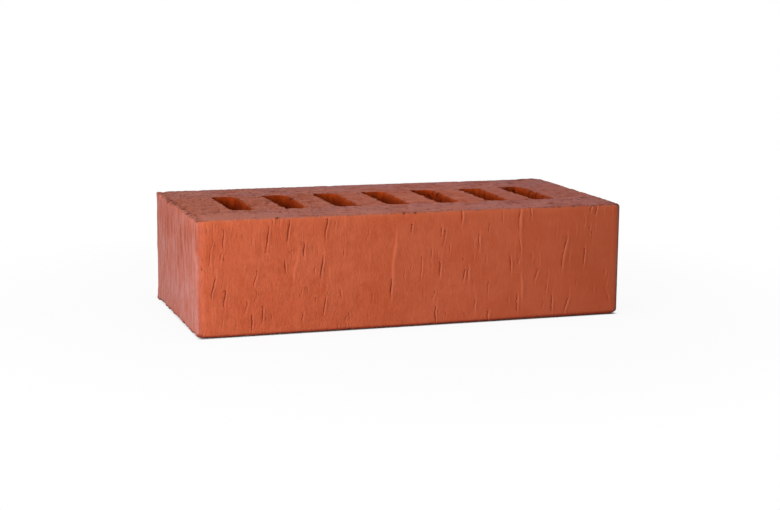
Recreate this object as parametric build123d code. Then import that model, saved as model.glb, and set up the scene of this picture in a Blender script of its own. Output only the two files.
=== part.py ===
from build123d import *
import os

# A perforated facing brick of fired clay, in millimetres, lying on its lower bed.
#
# The clay was pushed up through a die, which rounded the four upright arrises and
# left one row of slots, and was then cut to height by wires, which left two flat
# beds with nearly sharp edges. The origin is at the middle of the lower bed, X runs
# along the length, Z is up, and the torn facing side looks towards -Y.

# Overall size of the fired brick
LENGTH = 250.0
WIDTH = 120.0
HEIGHT = 65.0

# Edges of the outside
UPRIGHT_ARRIS_RADIUS = 5.0  # from the corners of the die
BED_ARRIS_RADIUS = 0.8  # from the cutting wire, slightly worn

# Row of slots, which run right through from bed to bed
SLOT_COUNT = 7
SLOT_WIDTH = 13.0  # along the brick
SLOT_CORNER_RADIUS = 3.0
END_WALL = 27.0  # solid clay from a header to an evenly spaced row
SIDE_WALL = 33.5  # solid clay from a stretcher to the slots
LAST_SLOT_SHIFT = 3.0  # how far the right-hand slot stands towards its neighbour

# Corner knocked off in handling: right-hand end of the facing side, at the lower bed
CHIP_ALONG = 7.0  # reach along the length, from the outermost corner of the end
CHIP_ACROSS = 6.0  # reach across the width
CHIP_UP = 4.0  # reach up the arris

ROW_LENGTH = LENGTH - 2 * END_WALL
SLOT_PITCH = (ROW_LENGTH - SLOT_WIDTH) / (SLOT_COUNT - 1)
SLOT_LENGTH = WIDTH - 2 * SIDE_WALL


def extruded_column():
    """The outside of the brick, with its die-rounded upright arrises."""
    outline = RectangleRounded(LENGTH, WIDTH, UPRIGHT_ARRIS_RADIUS)
    column = extrude(outline, HEIGHT)
    return ease_beds(column)


def ease_beds(column):
    """Softens the outer edges of both beds by the worn radius."""
    levels = column.edges().group_by(Axis.Z)
    return fillet(levels[0] + levels[-1], BED_ARRIS_RADIUS)


def slot_places():
    """Where each slot stands along the brick, measured from its middle."""
    middle = (SLOT_COUNT - 1) / 2
    places = [SLOT_PITCH * (index - middle) for index in range(SLOT_COUNT)]
    places[-1] -= LAST_SLOT_SHIFT
    return places


def slot_row():
    """Every slot as one cutter, cut past both beds."""
    overrun = SLOT_WIDTH
    slot = RectangleRounded(SLOT_WIDTH, SLOT_LENGTH, SLOT_CORNER_RADIUS)
    row = [Pos(place, 0) * slot for place in slot_places()]
    cutters = extrude(Sketch() + row, HEIGHT + 2 * overrun)
    return Pos(0, 0, -overrun) * cutters


def corner_chip():
    """The tetrahedron that is missing from the lower right corner of the facing side."""
    corner = Vector(LENGTH / 2, -WIDTH / 2, 0)
    along = corner - Vector(CHIP_ALONG, 0, 0)
    across = corner + Vector(0, CHIP_ACROSS, 0)
    up = corner + Vector(0, 0, CHIP_UP)
    faces = [
        Face(Wire.make_polygon(points))
        for points in (
            (corner, along, across),
            (corner, along, up),
            (corner, across, up),
            (along, across, up),
        )
    ]
    return Solid(Shell(faces))


def brick():
    """The whole brick: column, slots and chip."""
    return extruded_column() - slot_row() - corner_chip()


os.makedirs("parts", exist_ok=True)
export_step(brick(), "parts/brick.step")
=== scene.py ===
"""A perforated facing brick of fired red clay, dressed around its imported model.

The block is one closed mesh that stands for the node "brick". Its walls, beds and
slots are laid out on the sizes of the frame, and then get the relief that an extruded
and wire-cut brick has: torn skin on the facing side, combed headers, dragged beds and
ragged slot mouths. Sizes are in millimetres until the mesh is written, in metres.
"""
import logging
import math
from dataclasses import dataclass, field
from enum import Enum, IntEnum

import bpy
import numpy as np
from mathutils import Matrix, Vector
from mathutils.geometry import delaunay_2d_cdt
from mathutils.kdtree import KDTree


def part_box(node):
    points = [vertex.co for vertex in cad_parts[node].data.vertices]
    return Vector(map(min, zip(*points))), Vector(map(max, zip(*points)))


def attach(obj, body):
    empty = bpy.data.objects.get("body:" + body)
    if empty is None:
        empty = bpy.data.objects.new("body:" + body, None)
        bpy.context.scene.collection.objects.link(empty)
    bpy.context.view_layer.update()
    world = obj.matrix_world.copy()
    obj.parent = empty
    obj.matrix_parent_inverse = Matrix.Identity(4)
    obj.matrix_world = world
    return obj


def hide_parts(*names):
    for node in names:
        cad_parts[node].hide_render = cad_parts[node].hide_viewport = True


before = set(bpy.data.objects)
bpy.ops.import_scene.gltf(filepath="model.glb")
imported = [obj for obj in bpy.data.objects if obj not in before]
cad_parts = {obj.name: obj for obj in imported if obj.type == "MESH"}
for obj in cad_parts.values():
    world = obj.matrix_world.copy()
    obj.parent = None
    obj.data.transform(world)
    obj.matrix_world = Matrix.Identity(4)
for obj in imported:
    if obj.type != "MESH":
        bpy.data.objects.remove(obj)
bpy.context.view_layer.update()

MM = 0.001
LOG = logging.getLogger("clay_brick")

Array = np.ndarray
Pair = tuple[float, float]
Spacings = tuple[float, float, float, float]
Socket = bpy.types.NodeSocket
Value = Socket | float | tuple[float, ...]


# Small tools

def smooth(low: float, high: float, value: Array) -> Array:
    """Rises smoothly from 0 at low to 1 at high."""
    share = np.clip((value - low) / (high - low), 0.0, 1.0)
    return share * share * (3.0 - 2.0 * share)


def bell(distance: Array, width: float) -> Array:
    """A bell of height 1 that has faded out two widths from its middle."""
    return np.exp(-np.square(distance / width))


def fade(distance: Array, reach: float) -> Array:
    """Stays at 1 up to a distance of 0, and then dies away over the reach."""
    return np.exp(-np.maximum(distance, 0.0) / reach)


def place_object(name: str, data: bpy.types.ID) -> bpy.types.Object:
    """Makes an object of a mesh, lamp or camera, and links it to the scene.

    Args:
        name: The object's name.
        data: What it shows.

    Returns:
        The object.
    """
    made = bpy.data.objects.new(name, data)
    bpy.context.scene.collection.objects.link(made)
    return made


@dataclass(frozen=True)
class Pattern:
    """How noise is read over a surface."""

    size: Pair  # width and height of a blotch, in millimetres
    start: Pair = (0.0, 0.0)  # where in the noise the surface begins, in lattice cells
    layers: int = 1  # each half as large and as strong as the last


class LatticeNoise:
    """Seeded gradient noise on arrays of points, smooth and about -1 to 1."""

    CELLS = 256
    GAIN = 1.5
    LAYER_SHIFT = (31.7, -17.3)  # lattice cells, so that the layers don't line up

    def __init__(self, seed: int) -> None:
        """Draws the lattice.

        Args:
            seed: The same seed gives the same noise.
        """
        turn = np.random.default_rng(seed).uniform(0.0, math.tau, (self.CELLS, self.CELLS))
        self.east = np.cos(turn)
        self.north = np.sin(turn)

    def _corner(self, column: Array, row: Array, x: Array, y: Array) -> Array:
        """The slope of one lattice point, followed to a place x, y away from it."""
        cell = (column % self.CELLS, row % self.CELLS)
        return self.east[cell] * x + self.north[cell] * y

    def at(self, x: Array, y: Array) -> Array:
        """Reads the noise.

        Args:
            x: First coordinates, in lattice cells.
            y: Second coordinates, in lattice cells.

        Returns:
            One value for each point.
        """
        x, y = np.broadcast_arrays(np.asarray(x, float), np.asarray(y, float))
        column = np.floor(x).astype(int)
        row = np.floor(y).astype(int)
        x = x - column
        y = y - row
        ease_x = x ** 3 * (x * (6.0 * x - 15.0) + 10.0)
        ease_y = y ** 3 * (y * (6.0 * y - 15.0) + 10.0)
        near = self._corner(column, row, x, y)
        near += (self._corner(column + 1, row, x - 1.0, y) - near) * ease_x
        far = self._corner(column, row + 1, x, y - 1.0)
        far += (self._corner(column + 1, row + 1, x - 1.0, y - 1.0) - far) * ease_x
        return (near + (far - near) * ease_y) * self.GAIN

    def over(self, pattern: Pattern, x: Array, y: Array, shift: Pair = (0.0, 0.0)) -> Array:
        """Reads the noise over a surface.

        Args:
            pattern: How to read it.
            x: First coordinates, in millimetres.
            y: Second coordinates, in millimetres.
            shift: Lattice cells to go on from the pattern's start.

        Returns:
            One value for each point.
        """
        x = x / pattern.size[0] + (pattern.start[0] + shift[0])
        y = y / pattern.size[1] + (pattern.start[1] + shift[1])
        total = np.zeros(np.broadcast(x, y).shape)
        for layer in range(pattern.layers):
            scale = 2.0 ** layer
            shift_x, shift_y = (layer * shift for shift in self.LAYER_SHIFT)
            total += self.at(x * scale + shift_x, y * scale + shift_y) / scale
        return total

    def strip(self, x: Array, size: float, row: float, layers: int = 1) -> Array:
        """Reads one row of the noise, in blotches of the given size in millimetres."""
        return self.over(Pattern((size, 1.0), layers=layers), x, row)


# Sizes

@dataclass(frozen=True)
class BrickFormat:
    """The brick's sizes in millimetres. The overall ones come from the frame."""

    length: float
    width: float
    height: float
    arris_radius: float = 5.0
    slot_count: int = 7
    slot_width: float = 13.0
    slot_corner: float = 3.0
    end_wall: float = 27.0
    side_wall: float = 33.5
    last_slot_shift: float = 3.0
    skin: float = 0.5  # room for lips and burrs between the mean surface and the box
    chip: tuple[float, float, float] = (8.6, 6.5, 4.3)  # along, across and up

    @classmethod
    def from_frame(cls) -> "BrickFormat":
        """Takes length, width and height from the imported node."""
        low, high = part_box("brick")
        return cls(*((high - low) / MM))

    @property
    def slot_length(self) -> float:
        """The slots' size across the brick."""
        return self.width - 2.0 * self.side_wall

    @property
    def slot_centres(self) -> Array:
        """Places the slots along the brick.

        Returns:
            The distance of each from the brick's middle.
        """
        reach = self.length / 2.0 - self.end_wall - self.slot_width / 2.0
        centres = np.linspace(-reach, reach, self.slot_count)
        centres[-1] -= self.last_slot_shift
        return centres


MASKS = ("hollow", "proud", "bloom", "bare", "grain", "split")
LAYERS = (*MASKS, "side")


@dataclass
class Relief:
    """What a surface does at each point: its height and the masks that colour it."""

    height: Array
    hollow: Array  # painted shade in creases, pits, grooves, nicks, slots and along the foot, and darker tones of the clay
    proud: Array  # painted highlights on lips, ridges, burrs and crumbs, and paler tones of the clay
    bloom: Array  # pale kiln bloom, partly a painted sheen on the headers and a painted lilac shade down the right arris
    bare: Array  # brighter clay where the skin is worn, partly a painted highlight along the upper arris of the facing side
    grain: Array  # strength of the streaks and grit that are finer than the mesh
    split: Array  # strength of the nearest crack in the skin, drawn as a line of painted shade
    side: Array  # millimetres from that crack's line, negative to its left

    @classmethod
    def flat(cls, shape: tuple[int, ...]) -> "Relief":
        """No relief at all."""
        return cls(*(np.zeros(shape) for _ in range(1 + len(LAYERS))))

    def add(self, other: "Relief", weight: Array, where: object = ...) -> None:
        """Adds another relief, weighted point by point.

        Args:
            other: The relief to add.
            weight: Its weights.
            where: The points of this relief that it belongs to.
        """
        for name in ("height", *LAYERS):
            getattr(self, name)[where] += getattr(other, name) * weight


# Relief of each kind of surface

@dataclass(frozen=True)
class Tear:
    """A tear in the skin of the facing side, in millimetres.

    The skin to the right of the crease stands up in a lip and falls back to the face. Its crack is
    drawn as a line of painted shade, and the lip gets a painted highlight.
    """

    STRAINED = (-0.6, 1.5)  # shares of the tear's length, from above its head to past its foot
    PALE_LIP = 0.4  # a lip of this height gets the full painted highlight
    SHUT = 0.14  # a tear of this depth shows no crack
    OPEN = 0.64  # a tear of this depth shows a full one

    along: float  # from the left end of the face to the foot of the tear
    below: float  # from the upper arris to its head
    length: float
    lean: float = 0.5  # how far the head stands to the right of the foot
    depth: float = 0.55
    lip: float = 0.3
    width: float = 0.4
    spread: float = 3.0  # how far the raised skin reaches to the right

    def carve(self, relief: Relief, along: Array, below: Array) -> None:
        """Cuts the tear into a relief.

        Args:
            relief: The relief to change.
            along: Distance of each point from the left end.
            below: Distance of each point from the upper arris.
        """
        head, foot = self.STRAINED
        share = (below - self.below) / self.length
        near = (share > head) & (share < foot)
        near &= np.abs(along - self.along) < self.spread * 3.0 + abs(self.lean)
        share = share[near]
        inside = np.clip(share, 0.0, 1.0)
        bow = 0.3 * np.sin(3.1 * share + self.along) + 0.1 * np.sin(9.0 * share + 2.0 * self.along)
        side = along[near] - self.along - self.lean * (1.0 - inside) ** 1.6 - bow
        gape = np.sin(np.pi * inside ** 0.8) ** 0.5
        strain = smooth(head, 0.0, share) * smooth(foot, 1.0, share)
        depth = np.maximum(gape, 0.3 * strain)
        crease = bell(side, self.width) * depth
        lip = bell(side - 2.4 * self.width, 1.5 * self.width) * depth
        flap = smooth(0.0, 2.0 * self.width, side) * fade(side, self.spread)
        flap *= smooth(-0.4, 0.3, share) * smooth(foot, 0.7, share)
        relief.height[near] += self.lip * (0.8 * lip + flap) - 0.5 * self.depth * crease
        # Painted highlight on the lip and the raised skin.
        relief.proud[near] += (0.7 * lip + 0.3 * flap) * min(1.0, self.lip / self.PALE_LIP)
        strength = np.clip((self.depth - self.SHUT) / (self.OPEN - self.SHUT), 0.0, 1.0)
        split = gape * strength * smooth(1.7, 1.0, np.abs(side))
        stronger = split > relief.split[near]
        relief.split[near] = np.where(stronger, split, relief.split[near])
        relief.side[near] = np.where(stronger, side, relief.side[near])


@dataclass
class FacingSkin:
    """The bark of the facing side: tears, comb lines and soft swells, in millimetres."""

    TEARS = (
        Tear(14.8, 6.2, 8.3, lean=0.3, depth=0.5),
        Tear(38.4, 5.2, 13.6, lean=1.4, depth=0.6),
        Tear(50.0, 2.0, 11.2, lean=1.8, depth=0.85),
        Tear(59.5, 15.0, 7.4, lean=0.5, depth=0.8, lip=0.4),
        Tear(6.9, 18.2, 7.0, lean=0.4, depth=0.4),
        Tear(8.2, 31.0, 12.6, lean=2.2, depth=0.9, lip=0.35),
        Tear(15.1, 39.0, 9.7, lean=0.9, depth=0.55),
        Tear(30.9, 29.2, 9.4, lean=2.8, depth=0.4),
        Tear(35.8, 48.4, 9.2, lean=1.4, depth=0.6),
        Tear(30.0, 53.4, 8.4, lean=0.9, depth=0.65),
        Tear(48.8, 24.6, 5.8, lean=0.3, depth=0.6, lip=0.2),
        Tear(53.2, 21.8, 14.2, lean=2.8, depth=0.12, lip=0.45, spread=5.0),
        Tear(71.6, 1.8, 11.8, lean=1.5, depth=0.85),
        Tear(68.8, 22.6, 12.2, lean=1.8, depth=0.85, lip=0.35),
        Tear(70.7, 45.2, 11.6, lean=1.0, depth=0.55),
        Tear(58.8, 53.2, 5.4, lean=0.1, depth=0.4),
        Tear(80.4, 42.4, 3.8, lean=0.1, depth=0.4),
        Tear(109.6, 37.8, 9.3, lean=0.3, depth=0.9, lip=0.4, width=0.45),
        Tear(109.8, 14.0, 26.0, lean=2.1, depth=0.12, lip=0.5, spread=6.0),
        Tear(121.3, 7.0, 4.8, lean=0.2, depth=0.6),
        Tear(127.0, 25.6, 13.4, lean=0.2, depth=0.35, lip=0.2),
        Tear(137.7, 29.0, 8.0, lean=1.0, depth=0.9, lip=0.4),
        Tear(138.6, 9.4, 5.4, lean=0.2, depth=0.45),
        Tear(135.9, 55.0, 8.4, lean=0.4, depth=0.8, lip=0.3),
        Tear(150.6, 0.5, 7.4, lean=0.3, depth=0.8, lip=0.45, width=0.5),
        Tear(152.4, 34.6, 6.0, lean=0.5, depth=0.8, lip=0.4),
        Tear(154.9, 32.8, 7.2, lean=0.6, depth=0.3, lip=0.4),
        Tear(161.3, 14.6, 8.6, lean=0.4, depth=0.5),
        Tear(159.5, 50.0, 8.4, lean=0.1, depth=0.35),
        Tear(167.3, 59.0, 5.2, lean=0.8, depth=0.6, lip=0.35, width=0.5),
        Tear(180.8, 28.2, 7.8, lean=0.2, depth=0.75),
        Tear(185.4, 29.4, 2.8, lean=0.4, depth=0.6),
        Tear(185.4, 50.4, 3.8, lean=0.1, depth=0.6),
        Tear(185.3, 55.0, 4.6, lean=0.1, depth=0.85),
        Tear(187.4, 39.0, 12.6, lean=0.1, depth=0.12, lip=0.4),
        Tear(185.6, 0.2, 13.6, lean=0.8, depth=0.5, lip=0.5, width=0.6, spread=4.0),
        Tear(192.6, 0.6, 4.2, lean=0.1, depth=0.6),
        Tear(195.9, 34.8, 7.6, lean=2.1, depth=0.8, lip=0.35),
        Tear(206.4, 52.4, 8.8, lean=0.6, depth=0.85),
        Tear(215.0, 52.6, 9.2, lean=2.3, depth=0.85, lip=0.4, width=0.45),
        Tear(213.5, 18.0, 8.8, lean=2.0, depth=0.8, lip=0.4, width=0.45),
        Tear(212.2, 26.2, 9.8, lean=1.4, depth=0.5, lip=0.35, width=0.5),
        Tear(225.8, 25.2, 9.8, lean=0.9, depth=0.75),
        Tear(232.5, 1.4, 4.4, lean=1.0, depth=0.7),
        Tear(229.7, 0.8, 3.2, lean=1.0, depth=0.55),
        Tear(229.4, 12.0, 4.0, lean=0.2, depth=0.35),
    )
    SWELLS = Pattern((40.0, 28.0), layers=2)
    DRIFT = Pattern((37.0, 21.0))
    LINES = Pattern((1.2, 3.4))
    BROAD_LINES = Pattern((2.6, 6.0))
    FURROWS = Pattern((4.6, 17.0), (0.0, 5.0))
    BUMPS = Pattern((3.0, 3.4), (60.0, 0.0), 2)
    PATCHES = Pattern((27.0, 22.0), (4.0, 9.0))

    size: BrickFormat
    seed: int
    small_tears: int = 280
    swell: float = 0.14  # height of the soft swells
    line: float = 0.06  # height of the comb's lines
    furrow: float = 0.11  # height of the broader lines at the left end
    bump: float = 0.05  # height of the small bumps, halved at the right end
    left: Pair = (150.0, 40.0)  # along the face, where the lines grow strong
    calm: Pair = (55.0, 230.0)  # where the skin grows calm
    dusk: Pair = (150.0, 240.0)  # where painted shade makes it a little darker towards the right end
    foot: Pair = (62.4, 64.3)  # below the upper arris, where the painted shade along the foot begins
    lap: Pair = (1.5, 0.6)  # below it, where the bed's bloom laps over

    def __post_init__(self) -> None:
        """Draws the small tears between the main ones."""
        self.noise = LatticeNoise(self.seed)
        draw = np.random.default_rng(self.seed + 1)
        self.tears = [*self.TEARS]
        for _ in range(self.small_tears):
            depth = 0.05 + 0.3 * draw.uniform() ** 1.6
            self.tears.append(
                Tear(
                    along=2.0 + (self.size.length - 4.0) * draw.uniform() ** 1.9,
                    below=draw.uniform(-2.0, self.size.height - 4.0),
                    length=1.8 + 6.0 * draw.uniform() ** 1.6,
                    lean=draw.normal(0.4, 0.5),
                    depth=depth,
                    lip=depth * draw.uniform(0.3, 1.0),
                    width=draw.uniform(0.3, 0.42),
                    spread=draw.uniform(0.8, 3.0),
                )
            )

    def at(self, along: Array, below: Array) -> Relief:
        """Gives the relief at points of the face.

        Args:
            along: Distance from the left end.
            below: Distance from the upper arris.

        Returns:
            The relief at those points.
        """
        relief = Relief.flat(along.shape)
        calm = smooth(*self.calm, along)
        self._comb(relief, along, below, calm)
        self._tint(relief, along, below)
        for tear in self.tears:
            tear.carve(relief, along, below)
        relief.split *= 1.0 - 0.45 * calm
        return relief

    def _comb(self, relief: Relief, along: Array, below: Array, calm: Array) -> None:
        """Adds swells, upright comb lines and small bumps, with painted shade in the lines' grooves
        and painted highlights on their ridges.

        Args:
            relief: The relief to change.
            along: Distance from the left end.
            below: Distance from the upper arris.
            calm: How calm the skin is, from 0 to 1.
        """
        noise = self.noise
        drift = along + 1.2 * noise.over(self.DRIFT, along, below) - 0.05 * below
        lines = noise.over(self.LINES, drift, below)
        lines += 0.6 * noise.over(self.BROAD_LINES, drift, below)
        furrows = noise.over(self.FURROWS, drift, below)
        bumps = noise.over(self.BUMPS, along, below)
        patches = smooth(-0.15, 0.5, noise.over(self.PATCHES, along, below))
        left = smooth(*self.left, along)
        combed = (0.2 + 0.4 * patches) * (1.0 - 0.6 * calm) + 0.5 * left
        relief.height += self.swell * noise.over(self.SWELLS, along, below)
        relief.height += self.line * combed * lines + self.furrow * left * furrows
        relief.height += self.bump * (1.0 - 0.5 * calm) * bumps
        relief.hollow += 0.16 * combed * smooth(0.5, 1.4, -lines)
        relief.proud += 0.2 * combed * smooth(0.5, 1.4, lines)
        relief.grain += 0.62 - 0.52 * calm

    def _tint(self, relief: Relief, along: Array, below: Array) -> None:
        """Marks the worn arrises with a painted highlight along the top, the bloom that laps over the
        top, and painted shade along the foot and towards the right end.

        Args:
            relief: The relief to change.
            along: Distance from the left end.
            below: Distance from the upper arris.
        """
        noise = self.noise
        ragged = 0.4 * noise.strip(along, 3.1, 33.5) + 0.2 * noise.strip(along, 1.1, 37.5)
        # Worn clay along the upper arris, partly a painted highlight, and at the left end.
        relief.bare += 0.7 * fade(below - 1.0, 1.8) + 0.15 * fade(along, 7.0)
        relief.bloom += 0.8 * smooth(self.lap[0] + ragged, self.lap[1] + ragged, below)
        # Painted shade along the foot and towards the right end.
        relief.hollow += smooth(*self.foot, below) + 0.2 * smooth(*self.dusk, along)


@dataclass
class CombedSkin:
    """The plain die skin of headers and back, with long upright streaks."""

    DRIFT = Pattern((31.0, 27.0))
    BROAD = Pattern((9.5, 60.0))
    STREAKS = Pattern((2.1, 38.0))
    FINE = Pattern((1.1, 24.0))
    CLOUDS = Pattern((24.0, 18.0), (40.0, 0.0), 2)
    SPOTS = Pattern((1.9, 1.7), (0.0, 30.0), 2)

    seed: int
    streak: float  # height of the streaks in millimetres
    bloom: float  # how much kiln bloom, partly a painted sheen, lies on the face, from 0 to 1
    crisp: float = 38.0  # millimetres below the upper arris, where the streaks grow faint
    fringe: float = 2.6  # millimetres that the bed's crumbs hang over the upper arris
    settled: Pair = (10.0, 50.0)  # millimetres down, where the bloom grows thicker
    foot: Pair = (62.0, 63.8)  # millimetres down, where the painted shade along the foot begins

    def __post_init__(self) -> None:
        """Settles the noise."""
        self.noise = LatticeNoise(self.seed)

    def at(self, along: Array, below: Array) -> Relief:
        """Gives the relief at points of the face.

        Args:
            along: Distance from the left end.
            below: Distance from the upper arris.

        Returns:
            The relief at those points.
        """
        relief = Relief.flat(along.shape)
        noise = self.noise
        drift = along + 0.8 * noise.over(self.DRIFT, along, below)
        broad = noise.over(self.BROAD, drift, below)
        streaks = noise.over(self.STREAKS, drift, below + 11.4 * broad)
        fine = noise.over(self.FINE, drift, below)
        reach = self.crisp + 14.0 * noise.strip(along, 12.0, 60.5)
        crisp = 1.0 - 0.75 * smooth(reach - 18.0, reach, below)
        relief.height += self.streak * (0.4 * broad + crisp * (1.2 * streaks + 0.9 * fine))
        # Painted shade in the streaks' grooves and painted highlights on their ridges.
        relief.hollow += crisp * 0.68 * smooth(0.3, 0.7, -streaks)
        relief.hollow += crisp * 0.65 * smooth(0.3, 0.7, -fine)
        relief.proud += crisp * 0.9 * smooth(0.1, 0.7, streaks)
        relief.proud += crisp * 0.7 * smooth(0.1, 0.7, fine)
        relief.grain += 0.75
        self._tint(relief, along, below)
        return relief

    def _tint(self, relief: Relief, along: Array, below: Array) -> None:
        """Lays the kiln bloom with its painted sheen, pales the crumbly upper edge with painted
        shadow under its crumbs, and paints shade along the foot.

        Args:
            relief: The relief to change.
            along: Distance from the left end.
            below: Distance from the upper arris.
        """
        noise = self.noise
        clouds = 0.3 * noise.over(self.CLOUDS, along, below)
        cover = 0.65 + 0.3 * smooth(*self.settled, below) + clouds
        relief.bloom += self.bloom * np.clip(cover, 0.1, 1.0)
        fringe = self.fringe * (1.0 + noise.strip(along, 7.0, 80.5))
        fringe += 1.2 * noise.strip(along, 1.6, 90.5)
        spots = noise.over(self.SPOTS, along, below)
        relief.bare += 0.3 * smooth(fringe + 1.5, 0.4 * fringe, below)
        # Painted shadow in spots under the crumbs that hang over the upper arris.
        relief.hollow += 0.55 * smooth(fringe, 0.4 * fringe, below) * smooth(0.0, 0.5, spots)
        # Painted shade along the foot.
        uneven = below + 0.5 * noise.strip(along, 2.3, 95.5)
        relief.hollow += 0.6 * smooth(*self.foot, uneven)


@dataclass(frozen=True)
class Crumb:
    """A pit or a stuck crumb on a bed, in millimetres. A pit has a negative height."""

    FULL = 0.4  # a mark of this height gets its full painted shade or highlight

    x: float
    y: float
    radius: float
    height: float

    def press(self, relief: Relief, x: Array, y: Array) -> None:
        """Puts the crumb or pit on a relief of the bed.

        Args:
            relief: The relief to change.
            x: Place of each point along the brick.
            y: Place of each point across the brick.
        """
        turn = np.arctan2(y - self.y, x - self.x)
        uneven = 1.0 + 0.22 * np.sin(2.0 * turn + self.x) + 0.18 * np.sin(3.0 * turn + self.y)
        away = np.hypot(x - self.x, y - self.y) * uneven
        near = away < 2.5 * self.radius
        mark = np.exp(-((away[near] / self.radius) ** 3))
        relief.height[near] += self.height * mark
        # A pit is painted with shade, a crumb with a paler tone and painted highlight.
        mask = relief.hollow if self.height < 0.0 else relief.proud
        mask[near] += mark * min(1.0, abs(self.height) / self.FULL)


@dataclass
class WireCutBed:
    """A bed as the wire leaves it: drag lines, pits, crumbs and a burred left edge.

    Sizes are in millimetres, and places are taken from the middle of the brick.
    """

    SHOWN = (
        Crumb(-79.0, -56.5, 1.2, -0.8),
        Crumb(-5.0, -57.5, 1.0, -0.7),
        Crumb(-90.0, 27.0, 1.3, 0.45),
        Crumb(-86.0, 24.0, 1.0, 0.4),
        Crumb(-30.0, -11.0, 1.4, 0.4),
        Crumb(-27.0, -13.0, 1.0, 0.35),
        Crumb(117.0, 57.5, 2.6, 0.45),
        Crumb(112.0, 58.0, 2.2, 0.35),
    )
    SWELLS = Pattern((48.0, 31.0), layers=2)
    WARP = Pattern((21.0, 17.0), (0.0, 3.0))
    LINES = Pattern((4.6, 9.0))
    TORN = Pattern((5.0, 6.0), layers=3)
    CLOUDS = Pattern((16.0, 11.0), (50.0, 0.0), 3)
    SAND = Pattern((0.9, 1.7), (0.0, 60.0))
    FRAYED = Pattern((2.2, 4.5), (20.0, 0.0), 2)
    BURRS = Pattern((2.9, 1.0), (0.0, 3.5))

    size: BrickFormat
    seed: int
    ripped: float  # how deep the steps of the left edge are, from 0 to 1
    marks: tuple[Crumb, ...] = ()  # pits and crumbs that have their own places
    small_pits: int = 150
    small_crumbs: int = 110
    swell: float = 0.12  # height of the soft swells
    line: float = 0.12  # height of the wire's lines
    torn: float = 0.18  # height of the torn clay between them
    hole: float = 0.35  # depth of what the wire pulled out
    sand: float = 0.13  # height of the finest crumbs
    step_width: float = 21.0  # of the torn steps along the left edge
    left: Pair = (-60.0, -110.0)  # along the brick, where the paler left end begins
    right: Pair = (20.0, 110.0)  # where the bluer right end begins
    sandy: Pair = (30.0, -80.0)  # where the crumbs and pits grow dense
    smeared_left: Pair = (70.0, -20.0)  # where the wire closed the surface again
    smeared_front: Pair = (-34.0, -44.0)  # across the brick, where it did so

    def __post_init__(self) -> None:
        """Draws the small pits, then the small crumbs."""
        self.noise = LatticeNoise(self.seed)
        draw = np.random.default_rng(self.seed + 1)
        marks = [*self.marks]
        for count, sign in ((self.small_pits, -1.0), (self.small_crumbs, 1.0)):
            for _ in range(count):
                marks.append(
                    Crumb(
                        x=draw.uniform(-0.5, 0.5) * self.size.length,
                        y=draw.uniform(-0.5, 0.5) * self.size.width,
                        radius=draw.uniform(0.7, 1.6),
                        height=sign * draw.uniform(0.12, 0.4),
                    )
                )
        self.marks = tuple(marks)

    def at(self, x: Array, y: Array) -> Relief:
        """Gives the relief at points of the bed.

        Args:
            x: Place along the brick.
            y: Place across the brick.

        Returns:
            The relief, where height is out of the bed.
        """
        relief = Relief.flat(x.shape)
        smeared = 0.7 * smooth(*self.smeared_front, y) * smooth(*self.smeared_left, x)
        self._drag(relief, x, y, smeared)
        self._tint(relief, x, y, smeared)
        self._sand(relief, x, y, smeared)
        for mark in self.marks:
            mark.press(relief, x, y)
        self._tear_left_edge(relief, x, y)
        self._burr_slots(relief, x, y)
        return relief

    def _drag(self, relief: Relief, x: Array, y: Array, smeared: Array) -> None:
        """Adds swells, the wire's slanting lines and the clay that it tore out, with painted shade in
        the holes and grooves and painted highlights on the crests.

        Args:
            relief: The relief to change.
            x: Place along the brick.
            y: Place across the brick.
            smeared: How far the wire closed the surface again, from 0 to 1.
        """
        noise = self.noise
        half = self.size.width / 2.0
        warp = 3.0 * noise.over(self.WARP, x, y)
        lines = noise.over(self.LINES, x + warp, y - 0.6 * x + warp)
        torn = noise.over(self.TORN, x - warp, y + warp)
        relief.height += self.swell * noise.over(self.SWELLS, x, y)
        relief.height += self.line * lines + self.torn * torn
        relief.height -= self.hole * smooth(0.35, 1.2, -torn)
        relief.height *= 1.0 - 0.6 * smooth(half - 7.0, half, y)
        relief.hollow += 0.6 * smooth(0.3, 1.2, -torn) + 0.3 * smooth(0.3, 1.0, -lines)
        relief.hollow *= 1.0 - smeared
        relief.proud += 0.7 * smooth(0.3, 1.1, torn) + 0.3 * smooth(0.3, 1.0, lines)

    def _tint(self, relief: Relief, x: Array, y: Array, smeared: Array) -> None:
        """Lays clouds of bloom round the slots, tints ends, edges and webs, and puts a painted
        highlight on the worn front arris.

        Args:
            relief: The relief to change.
            x: Place along the brick.
            y: Place across the brick.
            smeared: How far the wire closed the surface again, from 0 to 1.
        """
        half = self.size.width / 2.0
        reach = self.size.slot_length / 2.0
        across = np.abs(y)
        webs = smooth(reach + 5.0, reach - 5.0, across)
        left, right = smooth(*self.left, x), smooth(*self.right, x)
        back = smooth(half - 12.0, half, y)
        clouds = smooth(-0.4, 0.5, self.noise.over(self.CLOUDS, x, y))
        relief.bloom += clouds * (1.0 - 0.9 * webs) + 0.65 * right + 0.6 * back
        relief.hollow += 0.22 * right + 0.3 * back ** 2
        relief.proud += 0.5 * left * smooth(12.0, 40.0, across) + 0.6 * smeared
        relief.bare += 0.5 * left * smooth(-12.0, -40.0, y) + 0.52 * webs * (1.0 - 0.5 * right)
        # Worn front arris, partly a painted highlight.
        relief.bare += 0.5 * fade(y + half, 2.2)
        relief.grain += 1.0 - 0.35 * smooth(-80.0, 60.0, x)

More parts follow.
